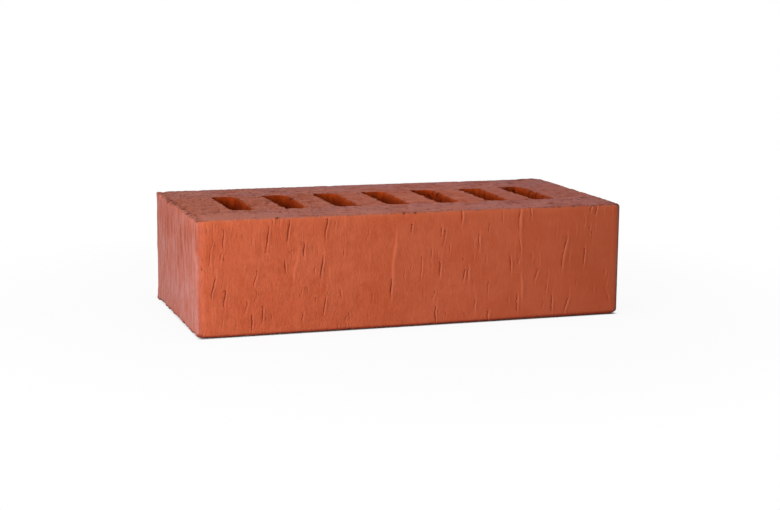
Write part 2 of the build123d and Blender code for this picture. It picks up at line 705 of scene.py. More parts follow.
    def _sand(self, relief: Relief, x: Array, y: Array, smeared: Array) -> None:
        """Strews the finest crumbs and pits, which are densest at the left, with painted highlights
        on the crumbs and painted shade in the pits.

        Args:
            relief: The relief to change.
            x: Place along the brick.
            y: Place across the brick.
            smeared: How far the wire closed the surface again, from 0 to 1.
        """
        sand = self.noise.over(self.SAND, x, y)
        sand *= (0.35 + 0.8 * smooth(*self.sandy, x)) * (1.0 - smeared)
        relief.height += self.sand * sand
        relief.proud += 0.8 * smooth(0.15, 0.6, sand)
        relief.hollow += 0.7 * smooth(0.15, 0.6, -sand)

    def _tear_left_edge(self, relief: Relief, x: Array, y: Array) -> None:
        """Shapes the left edge into torn steps, with frayed clay behind them and the steps' shadow
        painted on the bed.

        Args:
            relief: The relief to change.
            x: Place along the brick.
            y: Place across the brick.
        """
        edge = np.maximum(x + self.size.length / 2.0 - self.size.skin, 0.0)
        step = self.step(y)
        relief.height += (1.0 + self.ripped) * (step - 0.8) * fade(edge, 2.2)
        relief.height -= self.ripped * 0.6 * step * bell(edge - 4.2, 1.8)
        frayed = self.noise.over(self.FRAYED, x, y)
        torn = self.ripped * smooth(8.5, 3.0, edge + 2.0 * frayed)
        relief.height += 0.22 * torn * frayed
        # Painted shadow of the steps and painted shade in the frayed dips.
        relief.hollow += torn * (0.2 * bell(edge - 3.4, 1.5) + 0.35 * smooth(0.1, 0.9, -frayed))
        relief.bare += 0.35 * torn
        relief.bloom *= 1.0 - 0.8 * torn

    def _burr_slots(self, relief: Relief, x: Array, y: Array) -> None:
        """Raises a burr on the left of each slot with a painted highlight, and wears down the clay on
        its right.

        Args:
            relief: The relief to change.
            x: Place along the brick.
            y: Place across the brick.
        """
        inside = np.abs(y) < self.size.slot_length / 2.0
        for centre in self.size.slot_centres:
            left = centre - self.size.slot_width / 2.0 - x
            right = x - centre - self.size.slot_width / 2.0
            burr = smooth(-0.3, 0.6, self.noise.over(self.BURRS, y, 0.0, (centre, 0.0)))
            burr = burr * bell(left - 0.5, 1.2) * inside
            worn = fade(right, 2.2) * (right > -1.0) * inside
            relief.height += 0.35 * burr - 0.25 * worn
            relief.proud += 0.6 * burr
            relief.bare += 0.35 * worn

    def step(self, y: Array) -> Array:
        """Tells how far the torn left edge stands up.

        Each step rises towards the facing side and then breaks off.

        Args:
            y: Places across the brick.

        Returns:
            Shares from 0 to 1.
        """
        noise = self.noise
        phase = -y / self.step_width + 0.45 * noise.strip(y, 33.0, 12.5)
        rise = (phase - np.floor(phase)) * self.ripped + 0.6 * (1.0 - self.ripped)
        jag = 0.24 * noise.strip(y, 3.6, 15.5) + 0.14 * noise.strip(y, 1.5, 18.5)
        corner = smooth(48.0, 55.0, y)
        return np.clip(rise + jag + corner, 0.0, 1.0)


# Layout of the mesh

SAME_PLACE = 1e-7  # millimetres, within which two plan points count as one


class Surface(IntEnum):
    """Kinds of surface, in the order of the mesh's material slots."""

    WALL = 0
    BED = 1
    SLOT = 2


@dataclass
class Loop:
    """A closed rounded rectangle, walked anticlockwise, seen from above.

    Each side has its own spacing of points, in the order front, right, back, left.
    """

    length: float
    width: float
    radius: float
    spacings: Spacings
    corner_steps: int
    points: Array = field(init=False)
    normals: Array = field(init=False)
    travel: Array = field(init=False)
    starts: tuple[float, ...] = field(init=False)
    around: float = field(init=False)

    def __post_init__(self) -> None:
        """Places the points, their normals and their distances along the loop."""
        half_x = self.length / 2.0 - self.radius
        half_y = self.width / 2.0 - self.radius
        corners = ((half_x, -half_y), (half_x, half_y), (-half_x, half_y), (-half_x, -half_y))
        sides = (2.0 * half_x, 2.0 * half_y, 2.0 * half_x, 2.0 * half_y)
        arc = self.radius * math.pi / 2.0
        points, normals, travel, starts = [], [], [], []
        done = 0.0
        for side, (run, spacing) in enumerate(zip(sides, self.spacings)):
            starts.append(done)
            heading = side * math.pi / 2.0
            ahead = np.array([math.cos(heading), math.sin(heading)])
            out = np.array([ahead[1], -ahead[0]])
            corner = np.array(corners[side])
            count = max(1, round(run / spacing))
            steps = np.arange(count) / count * run
            points.append(corner + out * self.radius + np.outer(steps - run, ahead))
            normals.append(np.tile(out, (len(steps), 1)))
            travel.append(done + steps)
            done += run
            turns = np.arange(self.corner_steps) / self.corner_steps * math.pi / 2.0
            angle = heading - math.pi / 2.0 + turns
            spoke = np.stack([np.cos(angle), np.sin(angle)], axis=1)
            points.append(corner + spoke * self.radius)
            normals.append(spoke)
            travel.append(done + turns * self.radius)
            done += arc
        self.points = np.concatenate(points)
        self.normals = np.concatenate(normals)
        self.travel = np.concatenate(travel)
        self.starts = tuple(starts)
        self.around = done

    def along(self, side: int) -> Array:
        """Distance of each point from the start of a side's flat, negative before it."""
        ahead = self.travel - self.starts[side] + self.around / 2.0
        return ahead % self.around - self.around / 2.0

    def facing(self, x: float, y: float) -> Array:
        """How squarely each point's normal faces a direction, from 0 to 1."""
        return np.clip(self.normals @ np.array([x, y]), 0.0, 1.0)


class MeshDraft:
    """Vertices, faces, kinds and masks, gathered before Blender gets them."""

    def __init__(self) -> None:
        """Starts with nothing."""
        self.places: list[Array] = []
        self.layers: dict[str, list[Array]] = {name: [] for name in LAYERS}
        self.faces: list[Array] = []
        self.kinds: list[Array] = []
        self.count = 0

    def add_points(self, places: Array, relief: Relief) -> Array:
        """Adds vertices.

        Args:
            places: Their positions in millimetres, in the last axis.
            relief: The layers to keep with them.

        Returns:
            Their indices, in the shape of places without its last axis.
        """
        shape = places.shape[:-1]
        number = int(np.prod(shape))
        self.places.append(places.reshape(-1, 3))
        for layer, parts in self.layers.items():
            parts.append(getattr(relief, layer).reshape(-1))
        self.count += number
        return np.arange(self.count - number, self.count).reshape(shape)

    def add_faces(self, faces: Array, kinds: Array | int) -> None:
        """Adds triangles or quads of the given kinds of surface."""
        self.faces.append(faces)
        self.kinds.append(np.broadcast_to(kinds, len(faces)).astype(int))

    def add_tube(self, grid: Array, kinds: Array, inward: bool = False) -> None:
        """Joins rows of a closed ring with quads.

        Args:
            grid: Vertex indices, rows from top to bottom by columns anticlockwise.
            kinds: The kind of each quad, rows by columns.
            inward: Whether the quads face the ring's middle.
        """
        upper, lower = grid[:-1], grid[1:]
        quads = [upper, lower, np.roll(lower, -1, axis=1), np.roll(upper, -1, axis=1)]
        if inward:
            quads.reverse()
        self.add_faces(np.stack(quads, axis=-1).reshape(-1, 4), kinds.reshape(-1))

    def build(self, name: str, box: tuple[Array, Array]) -> bpy.types.Object:
        """Writes the mesh in metres, kept inside a box.

        Args:
            name: Name of the object.
            box: Lowest and highest corner in millimetres.

        Returns:
            The new object, linked to the scene.
        """
        places = np.clip(np.concatenate(self.places), *box)
        mesh = bpy.data.meshes.new(name)
        faces = [face for part in self.faces for face in part.tolist()]
        mesh.from_pydata((places * MM).tolist(), [], faces)
        mesh.polygons.foreach_set("material_index", np.concatenate(self.kinds))
        mesh.polygons.foreach_set("use_smooth", np.ones(len(faces), bool))
        for layer, parts in self.layers.items():
            values = np.concatenate(parts).astype(np.float32)
            if layer in MASKS:
                values = np.clip(values, 0.0, 1.0)
            mesh.attributes.new(layer, "FLOAT", "POINT").data.foreach_set("value", values)
        mesh.validate()
        mesh.update()
        return place_object(name, mesh)


@dataclass
class Edge:
    """The closed edge of a bed: its plan points and their vertices."""

    plan: Array
    ring: Array


def encloses(outline: Array, points: Array) -> Array:
    """Tells which points lie inside a closed outline, by counting its crossings.

    Args:
        outline: The outline's corners, in order.
        points: The points to test.

    Returns:
        True for each point inside.
    """
    start, end = outline, np.roll(outline, -1, axis=0)
    x, y = points[:, :1], points[:, 1:]
    spans = (start[:, 1] > y) != (end[:, 1] > y)
    rise = np.where(start[:, 1] == end[:, 1], 1.0, end[:, 1] - start[:, 1])
    crossing = start[:, 0] + (y - start[:, 1]) * (end[:, 0] - start[:, 0]) / rise
    return (spans & (x < crossing)).sum(axis=1) % 2 == 1


def fill_between(edges: list[Edge], inner: Array) -> Array:
    """Fills the room between an outer edge and the holes in it with triangles.

    Args:
        edges: The outer edge, then the edge of each hole.
        inner: Plan points between them.

    Returns:
        Triangles that count the points edge by edge, and the inner ones last.
    """
    plan = np.concatenate([edge.plan for edge in edges] + [inner])
    owner = np.full(len(plan), -1)
    joins, first = [], 0
    for number, edge in enumerate(edges):
        ring = np.arange(first, first + len(edge.plan))
        owner[ring] = number
        joins.extend(zip(ring.tolist(), np.roll(ring, -1).tolist()))
        first += len(ring)
    points = [Vector(place) for place in plan.tolist()]
    found = delaunay_2d_cdt(points, joins, [], 0, SAME_PLACE, True)
    source = np.array([origin[0] for origin in found[3]])
    triangles = source[np.array(found[2])]
    sides = owner[triangles]
    on_one_edge = (sides[:, 0] >= 0) & (sides == sides[:, :1]).all(axis=1)
    centres = plan[triangles].mean(axis=1)
    keep = np.ones(len(triangles), bool)
    for number, edge in enumerate(edges):
        doubtful = np.flatnonzero(on_one_edge & (sides[:, 0] == number))
        keep[doubtful] = encloses(edge.plan, centres[doubtful]) == (number == 0)
    return triangles[keep]


@dataclass(frozen=True)
class WallRows:
    """The rows of an upright wall, which rounds over into both beds."""

    z: Array  # height of every point, rows by columns
    lift: Array  # how far each row faces out of its bed, from 0 to 1, as a column
    flat: Array  # how far each row faces out of the wall, as a column
    above: Array  # whether each row belongs to the upper bed


@dataclass
class BrickBody:
    """The whole brick: its sizes, the fineness of its mesh and its surfaces."""

    DIRECTIONS = ((0.0, -1.0), (1.0, 0.0), (0.0, 1.0), (-1.0, 0.0))
    RAGGED_BLOOM = Pattern((7.0, 3.0), (0.0, 11.0))
    BROKEN_CORNER = Pattern((0.9, 0.8))
    SLOT_STREAKS = Pattern((2.1, 30.0))
    SLOT_FOLDS = Pattern((5.5, 14.0))
    SLOT_BLOTCHES = Pattern((2.6, 4.0), layers=2)

    size: BrickFormat
    wall_spacings: Spacings = (0.42, 1.3, 1.25, 0.75)
    wall_rows: int = 42
    arris_rows: int = 4
    arris_steps: int = 11
    slot_spacings: Spacings = (1.1, 1.3, 1.1, 0.9)
    slot_rows: int = 16
    rim_rows: int = 3
    slot_corner_steps: int = 5
    upper_spacing: float = 1.25
    lower_spacing: float = 2.4
    shake: float = 0.12  # how far a bed's points may leave their grid, in spacings
    clearance: float = 0.55  # how far they keep from the bed's edges, in spacings
    upper_nicks: tuple[float, ...] = (44.6, 117.0, 123.5)  # along the facing side
    lower_nicks: tuple[float, ...] = (86.0, 199.0)
    worn: float = 0.8  # mean radius of the bed arrises, in millimetres
    worn_range: Pair = (0.4, 3.0)
    slot_worn: float = 0.4  # mean radius of the slots' rims
    slot_worn_right: float = 1.2  # added to it on the right of each slot
    slot_broken: Pair = (-22.0, 14.0)  # across the brick, where the right rims crumble
    slot_mouth: Pair = (3.0, 6.5)  # millimetres from the bed, where painted shade darkens the wall
    burr_reach: float = 1.6  # how far the left header's burrs reach down or up the wall
    far: Pair = (10.0, 60.0)  # across the brick, where the left header grows paler
    draft: MeshDraft = field(default_factory=MeshDraft)

    def __post_init__(self) -> None:
        """Settles the outline and the relief of every surface."""
        size = self.size
        self.outline = Loop(
            size.length, size.width, size.arris_radius, self.wall_spacings, self.arris_steps
        )
        facing = FacingSkin(size, seed=11)
        end = CombedSkin(seed=23, streak=0.085, bloom=1.0)
        back = CombedSkin(seed=37, streak=0.06, bloom=0.3)
        other_end = CombedSkin(seed=41, streak=0.085, bloom=1.0)
        self.skins = (facing, other_end, back, end)
        self.upper = WireCutBed(size, 53, 1.0, WireCutBed.SHOWN)
        self.lower = WireCutBed(size, 67, 0.2)
        self.wear = LatticeNoise(71)
        self.top = size.height - size.skin
        self.bottom = size.skin

    def wall_relief(self, below: Array) -> Relief:
        """Gives the relief of the whole outer wall.

        Args:
            below: Distance below the upper arris, rows by columns.

        Returns:
            The relief, rows by columns.
        """
        total = Relief.flat(below.shape)
        for side, (skin, direction) in enumerate(zip(self.skins, self.DIRECTIONS)):
            weight = self.outline.facing(*direction) ** 2
            shown = weight > 0.0
            along = self.outline.along(side) + self.size.arris_radius
            spread = np.broadcast_to(along[shown], (len(below), shown.sum()))
            part = skin.at(spread, below[:, shown])
            total.add(part, weight[shown], (slice(None), shown))
        self._weather_ends(total, below)
        self._scorch_right_arris(total, below)
        # Painted shade in the nicks along the facing's upper arris.
        for place in self.upper_nicks:
            gap = self.outline.along(0) + self.size.arris_radius - place
            total.hollow += 0.9 * bell(gap, 0.9) * smooth(2.2, 0.9, below)
        return total

    def _weather_ends(self, total: Relief, below: Array) -> None:
        """Frays the headers' bloom, pales the left one to its far end and bends that end, and paints
        shade down the left front arris.

        Args:
            total: The wall's relief, to be changed.
            below: Distance below the upper arris, rows by columns.
        """
        normals = self.outline.normals
        left = normals[:, 0] < 0.0
        ragged = 0.25 * self.wear.over(self.RAGGED_BLOOM, below, self.outline.travel)
        far = smooth(*self.far, self.outline.points[:, 1]) * left
        total.bloom *= smooth(0.2, 0.75, normals[:, 0] ** 2 + ragged)
        total.bloom *= 0.9 + 0.5 * far
        total.proud += 0.3 * far
        total.bare *= 1.0 - 0.8 * far
        bend = self.outline.facing(-1.0, 0.0) * smooth(0.0, 0.3, normals[:, 1])
        total.height += 0.35 * bend * self.wear.strip(below, 11.0, 61.5, layers=2)
        # Painted shade down the rounded left front arris, lifted a little with bloom.
        corner = (1.0 - np.abs(normals ** 2 @ np.array([1.0, -1.0]))) ** 0.7 * left
        total.hollow += 0.42 * corner
        total.bloom += 0.2 * corner

    def _scorch_right_arris(self, total: Relief, below: Array) -> None:
        """Paints shade with a lilac cast down the right front arris, which turns away from the lamps,
        fading into its header.

        Args:
            total: The wall's relief, to be changed.
            below: Distance below the upper arris, rows by columns.
        """
        across = self.outline.normals[:, 0]
        past = self.outline.along(1) + 1.5 * self.wear.strip(below, 9.0, 81.5, layers=2)
        dark = fade(past + 1.8, 3.2)
        turned = smooth(0.2, 0.85, across)
        # Painted shade, with a lilac cast from the bloom colour, where the arris turns away from the
        # lamps.
        total.hollow += (0.4 * turned + 0.9 * smooth(0.62, 0.82, across)) * dark
        total.bloom += 0.8 * turned * dark

    def arris_wear(self, bed: WireCutBed, seed_row: float, nicks: tuple[float, ...]) -> Array:
        """The radius of a bed arris at each column of the wall.

        Args:
            bed: The bed above or below the arris.
            seed_row: Row of the noise to read, so that the two arrises differ.
            nicks: Places along the facing side where a crumb has broken out.

        Returns:
            Radii in millimetres.
        """
        travel = self.outline.travel
        header = self.outline.facing(-1.0, 0.0) ** 2
        corner = self.outline.facing(0.7, -0.7) ** 2
        radius = self.worn + 0.25 * self.wear.strip(travel, 9.0, seed_row)
        radius += 0.18 * self.wear.strip(travel, 2.6, seed_row + 5.0)
        radius += 0.5 * self.outline.facing(0.0, -1.0) ** 2
        radius += 2.0 * header * (1.0 - bed.step(self.outline.points[:, 1]))
        radius += 1.3 * corner * smooth(0.0, 0.4, self.outline.normals[:, 0])
        for place in nicks:
            radius += 0.9 * bell(travel + self.size.arris_radius - place, 1.0)
        return np.clip(radius, *self.worn_range)

    def lay_rows(self, upper: Array, lower: Array, steps: int, shares: Array) -> WallRows:
        """Lays out the rows of a wall between the beds.

        Args:
            upper: Radius of the upper arris at each column.
            lower: Radius of the lower arris at each column.
            steps: Number of rows on each arris.
            shares: Where each row between the arrises lies, from 0 at the top to 1.

        Returns:
            The rows, from top to bottom.
        """
        rise = np.sin(np.linspace(0.0, math.pi / 2.0, steps + 1)[1:, None])
        lift = np.concatenate([rise[::-1], np.zeros((len(shares), 1)), rise])
        high, low = self.top - upper, self.bottom + lower
        middle = high + (low - high) * shares[:, None]
        z = np.concatenate([high + upper * rise[::-1], middle, low - lower * rise])
        return WallRows(z, lift, np.sqrt(1.0 - lift ** 2), np.arange(len(z)) < len(z) // 2)

    def meet_beds(self, loop: Loop, outward: Array, rows: WallRows,
                  centre: float = 0.0) -> tuple[Array, Relief]:
        """Places a wall's points, and lets its rounded rows follow the relief of the beds.

        Args:
            loop: The wall's outline.
            outward: How far each point stands out of it, rows by columns.
            rows: The wall's rows.
            centre: Place of the outline's middle along the brick.

        Returns:
            The points' places, and the beds' relief at each of them.
        """
        xy = loop.points + loop.normals * outward[..., None] + np.array([centre, 0.0])
        beds = Relief.flat(outward.shape)
        for half, bed in ((rows.above, self.upper), (~rows.above, self.lower)):
            beds.add(bed.at(xy[half][..., 0], xy[half][..., 1]), 1.0, half)
        z = rows.z + beds.height * rows.lift * np.where(rows.above, 1.0, -1.0)[:, None]
        return np.concatenate([xy, z[..., None]], axis=-1), beds

    def close_wall(self, places: Array, relief: Relief, kind: Surface, rim: int,
                   inward: bool = False) -> tuple[Edge, Edge]:
        """Adds a finished wall to the draft.

        Args:
            places: Its points, rows by columns.
            relief: The layers that go with them.
            kind: Its kind of surface.
            rim: How many rows of quads at either end look like the bed.
            inward: Whether the wall faces the middle of its ring.

        Returns:
            Its edge with the upper bed and with the lower bed.
        """
        grid = self.draft.add_points(places, relief)
        kinds = np.full((len(grid) - 1, grid.shape[1]), kind)
        kinds[:rim] = Surface.BED
        kinds[-rim:] = Surface.BED
        self.draft.add_tube(grid, kinds, inward)
        return Edge(places[0, :, :2], grid[0]), Edge(places[-1, :, :2], grid[-1])

    def build_walls(self) -> tuple[Edge, Edge]:
        """Builds the outer wall with both bed arrises.

        Returns:
            The edge of the upper bed and of the lower bed.
        """
        upper = self.arris_wear(self.upper, 0.5, self.upper_nicks)
        lower = self.arris_wear(self.lower, 40.5, self.lower_nicks)
        shares = np.linspace(0.0, 1.0, self.wall_rows)
        shares = 0.75 * shares + 0.25 * (0.5 - 0.5 * np.cos(np.pi * shares))
        rows = self.lay_rows(upper, lower, self.arris_rows, shares)
        radius = np.where(rows.above[:, None], upper, lower)
        relief = self.wall_relief(self.size.height - rows.z)
        outward = -self.size.skin - radius * (1.0 - rows.flat)
        outward += relief.height * rows.flat
        outward += self.end_burr(rows.z)
        places, beds = self.meet_beds(self.outline, outward, rows)
        beds.bare[:] = 0.0
        relief.add(beds, rows.lift ** 2)
        return self.close_wall(self.chip(places), relief, Surface.WALL, self.arris_rows // 2)

    def end_burr(self, z: Array) -> Array:
        """Tells how far the burrs of the left header stand out.

        Args:
            z: Heights on the wall, rows by columns.

        Returns:
            Distances, rows by columns.
        """
        y = self.outline.points[:, 1]
        top_burr = (0.9 * self.upper.step(y) - 0.5) * fade(self.top - z, self.burr_reach)
        foot_burr = (1.6 * self.lower.step(y) - 0.95) * fade(z - self.bottom, self.burr_reach)
        return self.outline.facing(-1.0, 0.0) ** 2 * (top_burr + foot_burr)

    def chip(self, places: Array) -> Array:
        """Presses points beyond the chipped corner back to the broken face.

        Args:
            places: The wall's points.

        Returns:
            The same points, with those of the corner moved.
        """
        corner = np.array([self.size.length / 2.0, -self.size.width / 2.0, 0.0])
        slope = np.array([-1.0, 1.0, 1.0]) / np.array(self.size.chip)
        steep = np.linalg.norm(slope)
        depth = np.clip((1.0 - (places - corner) @ slope) / steep, 0.0, None)
        rough = 0.12 * self.wear.over(self.BROKEN_CORNER, places[..., 0], places[..., 2])
        step = depth + rough * (depth > 0.0)
        return places + step[..., None] * slope / steep

    def build_slots(self) -> list[tuple[Edge, Edge]]:
        """Builds the wall of every slot.

        Returns:
            For each slot the edge of its upper mouth and of its lower mouth.
        """
        size = self.size
        loop = Loop(size.slot_width, size.slot_length, size.slot_corner, self.slot_spacings,
                    self.slot_corner_steps)
        return [self.build_slot(loop, centre) for centre in size.slot_centres]

    def build_slot(self, loop: Loop, centre: float) -> tuple[Edge, Edge]:
        """Builds one slot's wall, with its worn right rim and ragged left rim.

        Args:
            loop: The slot's outline about its own middle.
            centre: The slot's place along the brick.

        Returns:
            The edges of its upper mouth and of its lower mouth.
        """
        radius = self.slot_worn + self.slot_worn_right * loop.facing(1.0, 0.0) ** 2
        radius += 0.15 * self.wear.strip(loop.travel, 3.0, centre)
        shares = np.linspace(0.0, 1.0, self.slot_rows) ** 1.25
        rows = self.lay_rows(radius, radius, self.rim_rows, shares)
        depth = np.minimum(self.top - rows.z, rows.z - self.bottom)
        outward = self.slot_wear(loop, centre, rows.z, depth) + radius * (1.0 - rows.flat)
        places, beds = self.meet_beds(loop, outward, rows, centre)
        relief = Relief.flat(outward.shape)
        relief.add(beds, rows.lift)
        relief.grain += 0.62 * (1.0 - rows.lift)
        self.tint_slot(relief, loop, centre, places[..., 2], depth)
        return self.close_wall(places, relief, Surface.SLOT, self.rim_rows // 2, inward=True)

    def slot_wear(self, loop: Loop, centre: float, z: Array, depth: Array) -> Array:
        """Tells how far a slot's wall is worn back, by streaks, folds and a ragged rim.

        Args:
            loop: The slot's outline about its own middle.
            centre: The slot's place along the brick.
            z: Heights on the wall, rows by columns.
            depth: How far each point lies from the nearer bed.

        Returns:
            Distances away from the slot's middle, rows by columns.
        """
        noise, travel = self.wear, loop.travel
        streaks = 0.14 * noise.over(self.SLOT_STREAKS, travel, z, (centre, 0.0))
        streaks += 0.10 * noise.over(self.SLOT_FOLDS, travel, z, (0.0, centre))
        ragged = noise.strip(travel, 1.9, centre + 0.5)
        ragged += 0.5 * noise.strip(travel, 1.0, centre + 6.5)
        torn = 0.8 * ragged * (0.35 + loop.facing(-1.0, 0.0)) * fade(depth, 1.8)
        broken = loop.facing(1.0, 0.0) * smooth(*self.slot_broken, loop.points[:, 1])
        torn += broken * (0.9 + 0.6 * ragged) * fade(depth, 3.0)
        return streaks + torn

    def tint_slot(self, relief: Relief, loop: Loop, centre: float, z: Array,
                  depth: Array) -> None:
        """Paints shade on a slot's wall deeper inside its mouth, at the top of its right wall and in
        its far left corner, and tints it in darker and paler blotches.

        Args:
            relief: The wall's relief, to be changed.
            loop: The slot's outline about its own middle.
            centre: The slot's place along the brick.
            z: Heights on the wall, rows by columns.
            depth: How far each point lies from the nearer bed.
        """
        right = loop.facing(1.0, 0.0)
        tip = loop.facing(-0.7, 0.7) ** 4
        blotches = self.wear.over(self.SLOT_BLOTCHES, loop.travel, z, (centre, 0.0))
        # Painted shade deeper in the mouth, on the top of the right wall and in the far left corner.
        relief.hollow += 0.35 * smooth(*self.slot_mouth, depth)
        relief.hollow += 0.2 * right ** 2 * fade(depth - 0.5, 3.0)
        relief.hollow += 0.7 * tip
        relief.hollow += (0.45 + 0.3 * (centre > 0.0)) * smooth(0.1, 0.8, blotches)
        relief.proud += 0.5 * smooth(0.2, 0.9, -blotches) * (1.0 - tip)

    def build_bed(self, bed: WireCutBed, edges: list[Edge], spacing: float, level: float,
                  up: bool) -> None:
        """Fills a bed between its outer edge and the slot mouths.

        Args:
            bed: The bed's relief.
            edges: The outer edge, then the edge of each slot mouth.
            spacing: Distance between the points inside.
            level: Mean height of the bed.
            up: Whether the bed faces up.
        """
        inner = self.bed_points(edges, spacing)
        relief = bed.at(inner[:, 0], inner[:, 1])
        z = level + relief.height * (1.0 if up else -1.0)
        indices = self.draft.add_points(np.column_stack([inner, z]), relief)
        owners = np.concatenate([edge.ring for edge in edges] + [indices])
        triangles = owners[fill_between(edges, inner)]
        self.draft.add_faces(triangles if up else triangles[:, ::-1], Surface.BED)

    def bed_points(self, edges: list[Edge], spacing: float) -> Array:
        """Points over a bed, clear of its edges.

        Args:
            edges: The bed's edges.
            spacing: Distance between the points.

        Returns:
            The points' plan coordinates.
        """
        size = self.size
        draw = np.random.default_rng(round(spacing * 100.0))
        row_gap = spacing * math.sqrt(3.0) / 2.0
        rows = np.arange(-size.width / 2.0, size.width / 2.0, row_gap)
        columns = np.arange(-size.length / 2.0, size.length / 2.0, spacing)
        x, y = np.meshgrid(columns, rows)
        x = x + (np.arange(len(rows)) % 2)[:, None] * spacing / 2.0
        points = np.stack([x.ravel(), y.ravel()], axis=1)
        points += draw.uniform(-self.shake, self.shake, points.shape) * spacing
        plan = np.concatenate([edge.plan for edge in edges])
        finder = KDTree(len(plan))
        for index, (along, across) in enumerate(plan.tolist()):
            finder.insert((along, across, 0.0), index)
        finder.balance()
        found = [finder.find((along, across, 0.0)) for along, across in points.tolist()]
        keep = np.array([gap for _, _, gap in found]) > self.clearance * spacing
        owner = np.repeat(np.arange(len(edges)), [len(edge.plan) for edge in edges])
        owner = owner[[index for _, index, _ in found]]
        for number, edge in enumerate(edges):
            asked = np.flatnonzero(keep & (owner == number))
            keep[asked] = encloses(edge.plan, points[asked]) == (number == 0)
        return points[keep]

    def build(self) -> bpy.types.Object:
        """Builds every surface and joins them into one closed piece.

        Returns:
            The piece.
        """
        upper, lower = zip(self.build_walls(), *self.build_slots())
        self.build_bed(self.upper, [*upper], self.upper_spacing, self.top, True)
        self.build_bed(self.lower, [*lower], self.lower_spacing, self.bottom, False)
        box = tuple(np.array(corner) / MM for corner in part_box("brick"))
        return self.draft.build("clay_brick", box)


# Finishes

Colour = tuple[float, float, float]


def linear(red: int, green: int, blue: int) -> Colour:
    """Gives a colour as shaders take it.

    Args:
        red: Its red on a screen, from 0 to 255.
        green: Its green on a screen.
        blue: Its blue on a screen.

    Returns:
        The colour with the screen's curve undone.
    """
    shares = (red / 255.0, green / 255.0, blue / 255.0)
    return tuple(
        share / 12.92 if share <= 0.04045 else ((share + 0.055) / 1.055) ** 2.4
        for share in shares
    )


@dataclass(frozen=True)
class ClayFinish:
    """How one kind of surface looks."""

    name: str
    base: Colour
    pale: Colour
    deep: Colour
    # These four colours carry painted shade, painted highlights and painted sheen as well as the
    # clay's own darker, paler, bloomed and worn tones.
    hollow: Colour
    proud: Colour
    bloom: Colour
    bare: Colour
    mottle: float
    streak_scale: tuple[float, float, float]  # streaks per metre on each axis
    streak_colour: float
    streak_height: float
    grit_height: float
    coarse: float  # how strongly crumbs and pores stand in the grit
    crumbs: float
    pores: float
    rough: float
    specular: float = 0.25


FINISHES = {
    Surface.WALL: ClayFinish(
        "die_skin",
        base=linear(185, 84, 49), pale=linear(194, 95, 63), deep=linear(169, 72, 41),
        hollow=linear(126, 38, 16), proud=linear(206, 110, 80),
        bloom=linear(200, 138, 132), bare=linear(200, 98, 60),
        mottle=0.5, streak_scale=(1300.0, 1300.0, 430.0), streak_colour=0.35,
        streak_height=1.0, grit_height=0.62, coarse=0.3, crumbs=0.0, pores=0.0, rough=0.86,
    ),
    Surface.BED: ClayFinish(
        "wire_cut_face",
        base=linear(177, 91, 69), pale=linear(201, 126, 109), deep=linear(140, 62, 46),
        hollow=linear(112, 46, 30), proud=linear(206, 134, 116),
        bloom=linear(176, 112, 108), bare=linear(192, 92, 52),
        mottle=0.7, streak_scale=(260.0, 170.0, 170.0), streak_colour=0.5,
        streak_height=1.0, grit_height=1.6, coarse=1.0, crumbs=0.55, pores=0.9,
        rough=0.94, specular=0.15,
    ),
    # The slot walls are the die skin's clay painted darker and more saturated, a painted shade inside
    # the slots.
    Surface.SLOT: ClayFinish(
        "slot_wall",
        base=linear(157, 51, 11), pale=linear(170, 66, 19), deep=linear(130, 36, 6),
        hollow=linear(82, 19, 4), proud=linear(162, 68, 26),
        bloom=linear(146, 60, 26), bare=linear(166, 76, 38),
        mottle=0.5, streak_scale=(500.0, 500.0, 40.0), streak_colour=0.5,
        streak_height=0.9, grit_height=0.5, coarse=1.0, crumbs=0.2, pores=0.3,
        rough=0.92, specular=0.05,
    ),
}


